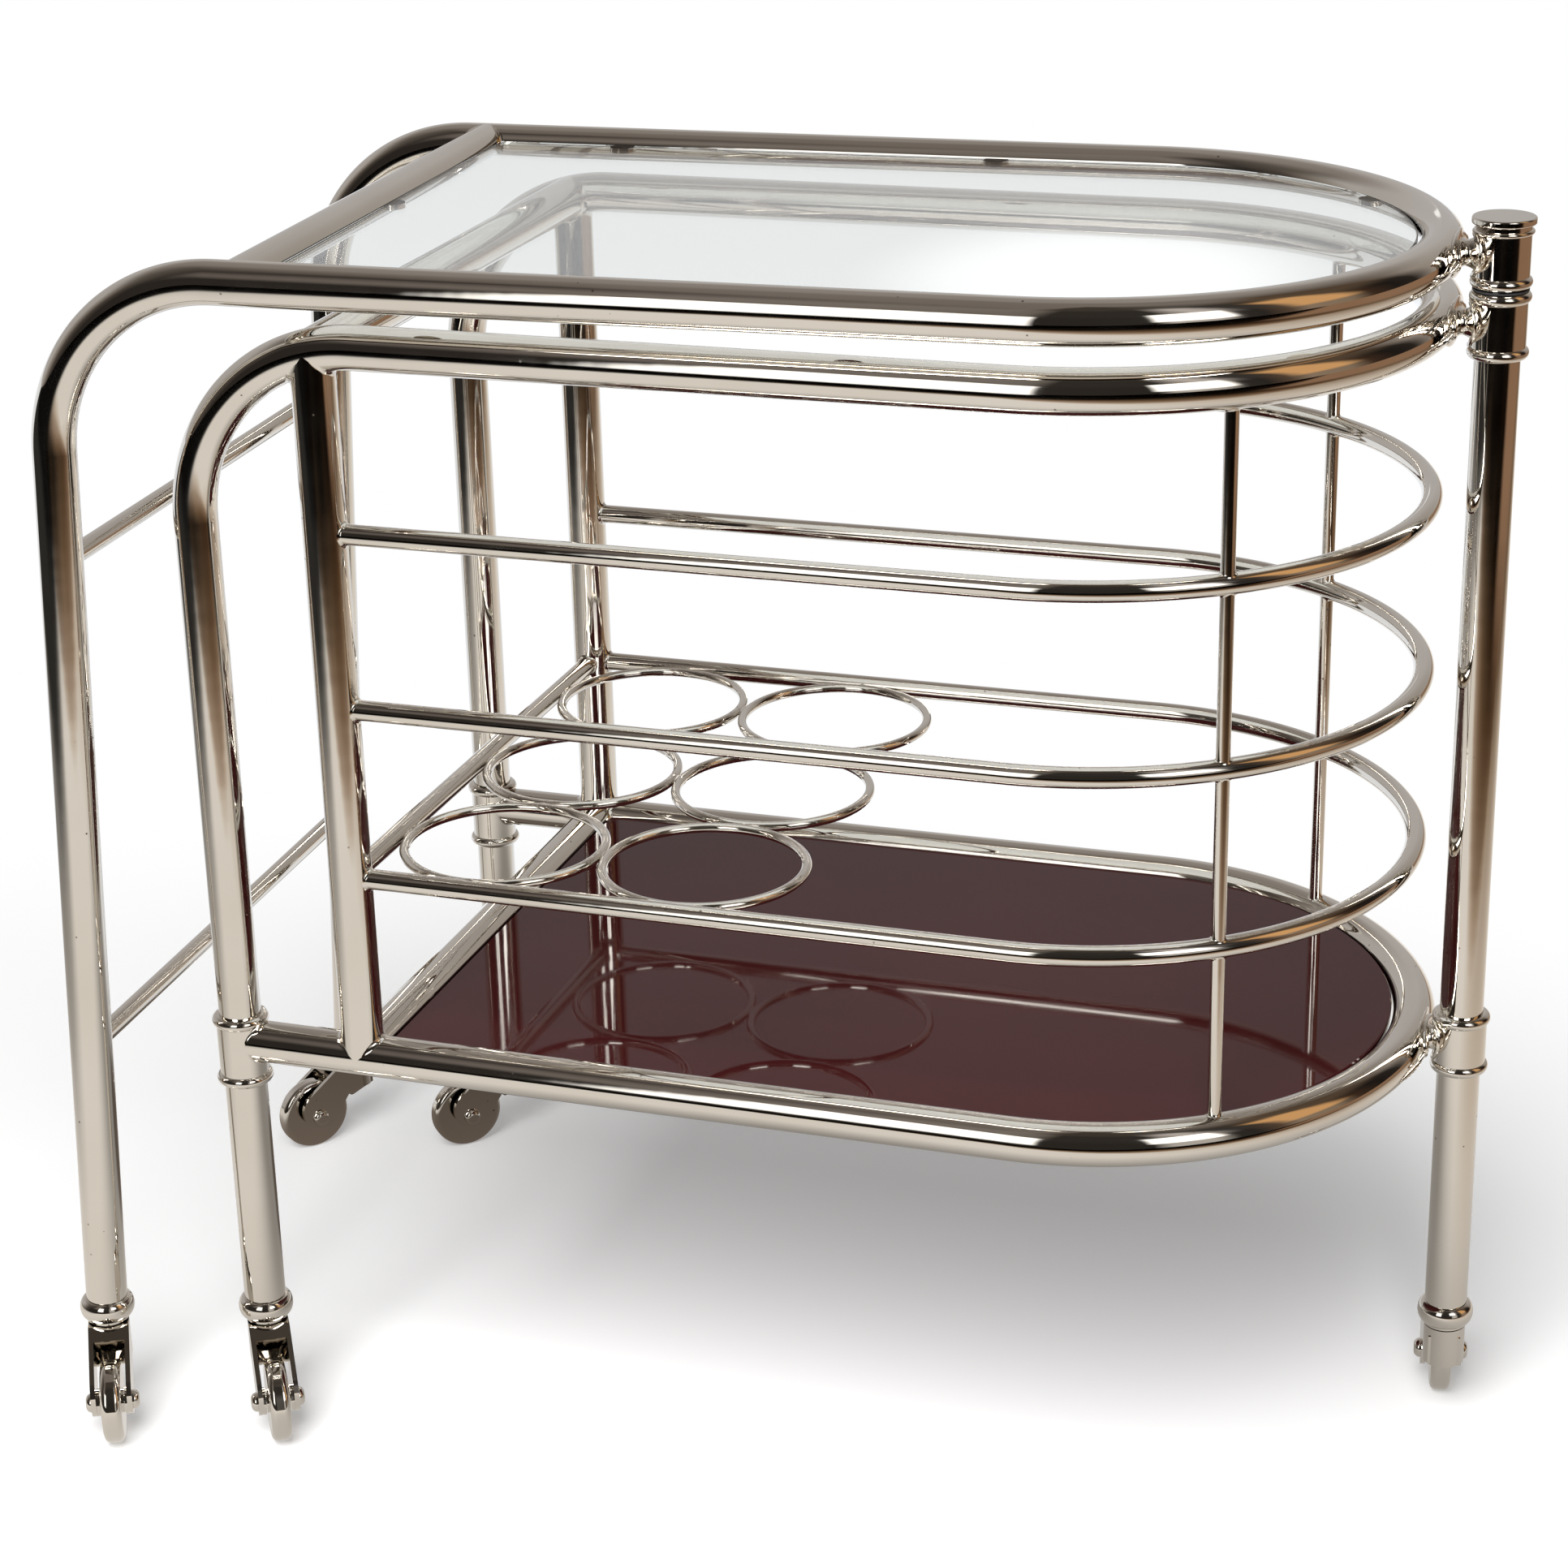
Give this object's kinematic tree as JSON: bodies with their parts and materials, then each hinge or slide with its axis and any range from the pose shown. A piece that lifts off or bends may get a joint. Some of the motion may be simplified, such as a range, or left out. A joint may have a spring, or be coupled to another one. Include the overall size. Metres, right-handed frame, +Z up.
{
  "type": "bar cart",
  "caption": "Round-ended tubular metal bar cart on casters, with a glass top that swings out on a pivot post over a railed cage with bottle rings and a shelf.",
  "frame": {"origin": "on the floor under the middle of the cart's bounding box, as it stands at rest", "axes": "+X along the cart towards the pivot post at the round end, +Y across it to the rear, +Z up"},
  "size_m": [0.8692, 0.4917, 0.75],
  "materials": {
    "polished_nickel": "polished, warm",
    "clear_glass": "polished",
    "dark_red_panel": "back-painted, glossy",
    "bearing_plastic": "plain"
  },
  "bodies": {
    "base_frame": {"lower_front_leg": "polished_nickel", "lower_rear_leg": "polished_nickel", "lower_round_end": "polished_nickel", "lower_cross_tube": "polished_nickel", "front_upright": "polished_nickel", "rear_upright": "polished_nickel", "bottom_hoop": "polished_nickel", "bottom_cross_tube": "polished_nickel", "low_gallery_rail": "polished_nickel", "middle_gallery_rail": "polished_nickel", "high_gallery_rail": "polished_nickel", "front_spindle": "polished_nickel", "rear_spindle": "polished_nickel", "rack_cross_rod": "polished_nickel", "bottle_ring_1": "polished_nickel", "bottle_ring_2": "polished_nickel", "bottle_ring_3": "polished_nickel", "bottle_ring_4": "polished_nickel", "bottle_ring_5": "polished_nickel", "bottle_ring_6": "polished_nickel", "shelf_panel": "dark_red_panel", "shelf_lugs": "polished_nickel", "pivot_post": "polished_nickel", "lower_collar": "polished_nickel", "bottom_collar": "polished_nickel", "front_leg_collar": "polished_nickel", "rear_leg_collar": "polished_nickel", "thrust_washer": "bearing_plastic", "post_plug": "bearing_plastic", "front_inner_caster_socket": "polished_nickel", "rear_inner_caster_socket": "polished_nickel", "post_caster_socket": "polished_nickel"},
    "swing_frame": {"upper_front_leg": "polished_nickel", "upper_rear_leg": "polished_nickel", "upper_round_end": "polished_nickel", "upper_cross_tube": "polished_nickel", "upper_collar": "polished_nickel", "pivot_bush": "bearing_plastic", "collar_cap": "polished_nickel", "glass_top": "clear_glass", "glass_lugs": "polished_nickel", "high_leg_crossbar": "polished_nickel", "low_leg_crossbar": "polished_nickel", "front_outer_caster_socket": "polished_nickel", "rear_outer_caster_socket": "polished_nickel"},
    "front_inner_fork": {"front_inner_caster_fork": "polished_nickel", "front_inner_caster_axle": "polished_nickel"},
    "front_inner_wheel": {"front_inner_caster_wheel": "polished_nickel"},
    "rear_inner_fork": {"rear_inner_caster_fork": "polished_nickel", "rear_inner_caster_axle": "polished_nickel"},
    "rear_inner_wheel": {"rear_inner_caster_wheel": "polished_nickel"},
    "post_fork": {"post_caster_fork": "polished_nickel", "post_caster_axle": "polished_nickel"},
    "post_wheel": {"post_caster_wheel": "polished_nickel"},
    "front_outer_fork": {"front_outer_caster_fork": "polished_nickel", "front_outer_caster_axle": "polished_nickel"},
    "front_outer_wheel": {"front_outer_caster_wheel": "polished_nickel"},
    "rear_outer_fork": {"rear_outer_caster_fork": "polished_nickel", "rear_outer_caster_axle": "polished_nickel"},
    "rear_outer_wheel": {"rear_outer_caster_wheel": "polished_nickel"}
  },
  "joints": [
    {"name": "top_swing", "type": "hinge", "parent": "base_frame", "child": "swing_frame", "pos_m": [0.418, 0.036, 0.72], "axis": [0, 0, 1], "continuous": true},
    {"name": "front_inner_swivel", "type": "hinge", "parent": "base_frame", "child": "front_inner_fork", "pos_m": [-0.284, -0.159, 0.065], "axis": [0, 0, 1], "continuous": true},
    {"name": "front_inner_roll", "type": "hinge", "parent": "front_inner_fork", "child": "front_inner_wheel", "pos_m": [-0.26545, -0.18868, 0.0254], "axis": [0.848, 0.5299, 0], "continuous": true},
    {"name": "rear_inner_swivel", "type": "hinge", "parent": "base_frame", "child": "rear_inner_fork", "pos_m": [-0.284, 0.231, 0.065], "axis": [0, 0, 1], "continuous": true},
    {"name": "rear_inner_roll", "type": "hinge", "parent": "rear_inner_fork", "child": "rear_inner_wheel", "pos_m": [-0.30875, 0.20625, 0.0254], "axis": [0.7071, -0.7071, 0], "continuous": true},
    {"name": "post_swivel", "type": "hinge", "parent": "base_frame", "child": "post_fork", "pos_m": [0.418, 0.036, 0.065], "axis": [0, 0, 1], "continuous": true},
    {"name": "post_roll", "type": "hinge", "parent": "post_fork", "child": "post_wheel", "pos_m": [0.41228, 0.07053, 0.0254], "axis": [-0.9866, -0.1633, 0], "continuous": true},
    {"name": "front_outer_swivel", "type": "hinge", "parent": "swing_frame", "child": "front_outer_fork", "pos_m": [-0.37905, -0.18836, 0.065], "axis": [0, 0, 1], "continuous": true},
    {"name": "front_outer_roll", "type": "hinge", "parent": "front_outer_fork", "child": "front_outer_wheel", "pos_m": [-0.36327, -0.2196, 0.0254], "axis": [0.8926, 0.4509, 0], "continuous": true},
    {"name": "rear_outer_swivel", "type": "hinge", "parent": "swing_frame", "child": "rear_outer_fork", "pos_m": [-0.39334, 0.20138, 0.065], "axis": [0, 0, 1], "continuous": true},
    {"name": "rear_outer_roll", "type": "hinge", "parent": "rear_outer_fork", "child": "rear_outer_wheel", "pos_m": [-0.41479, 0.17372, 0.0254], "axis": [0.7902, -0.6129, 0], "continuous": true}
  ]
}
